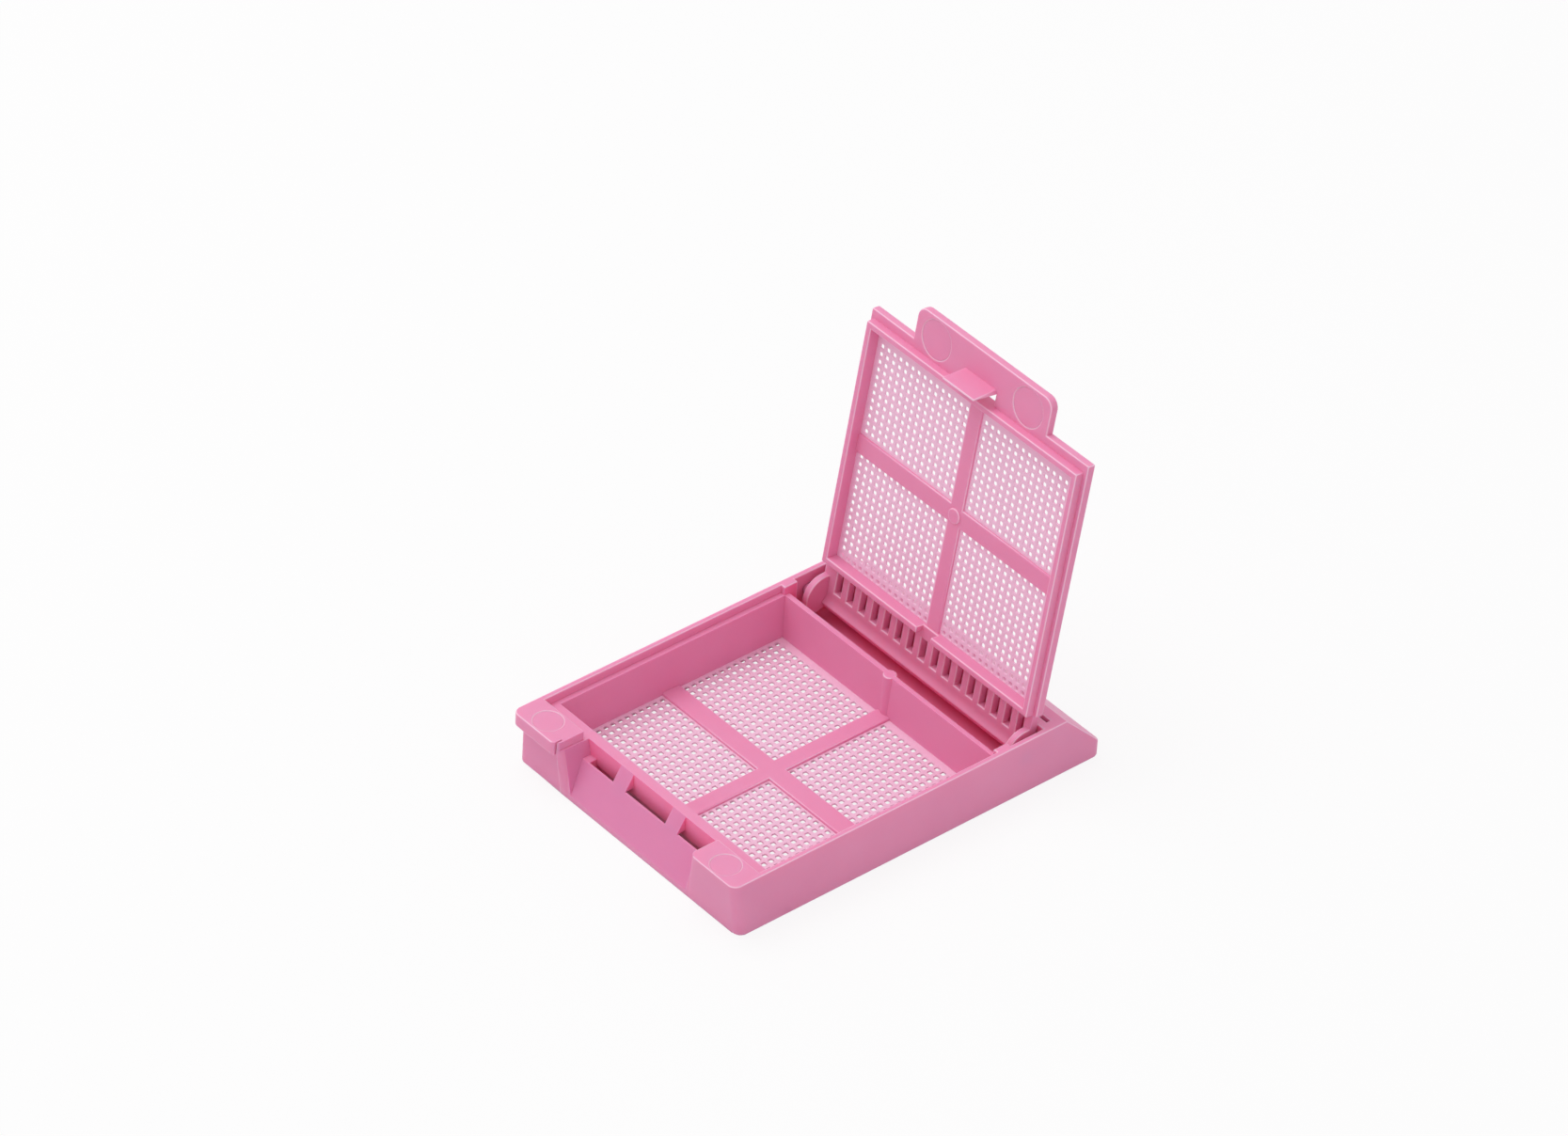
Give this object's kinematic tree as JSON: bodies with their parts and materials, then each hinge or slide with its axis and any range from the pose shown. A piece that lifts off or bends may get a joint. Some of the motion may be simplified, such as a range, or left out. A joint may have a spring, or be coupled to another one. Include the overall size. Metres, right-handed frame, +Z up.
{
  "type": "tissue cassette",
  "caption": "Shallow plastic tray with a perforated floor and a hinged perforated lid that holds tissue while it is processed.",
  "frame": {"origin": "on the bench under the middle of the tray's foot, which the pads overhang at the latch end", "axes": "+X towards the sloping writing end, -X towards the latch, Y across the tray, +Z up; the lid stands open at rest"},
  "size_m": [0.0403, 0.0286, 0.0346],
  "materials": {
    "base": "satin",
    "lid": "satin"
  },
  "bodies": {
    "base": {"base": "base"},
    "lid": {"lid": "lid"}
  },
  "joints": [
    {"name": "lid_hinge", "type": "hinge", "parent": "base", "child": "lid", "pos_m": [0.01115, 0, 0.0038], "axis": [0, 1, 0], "range_deg": [-98, 0]}
  ]
}
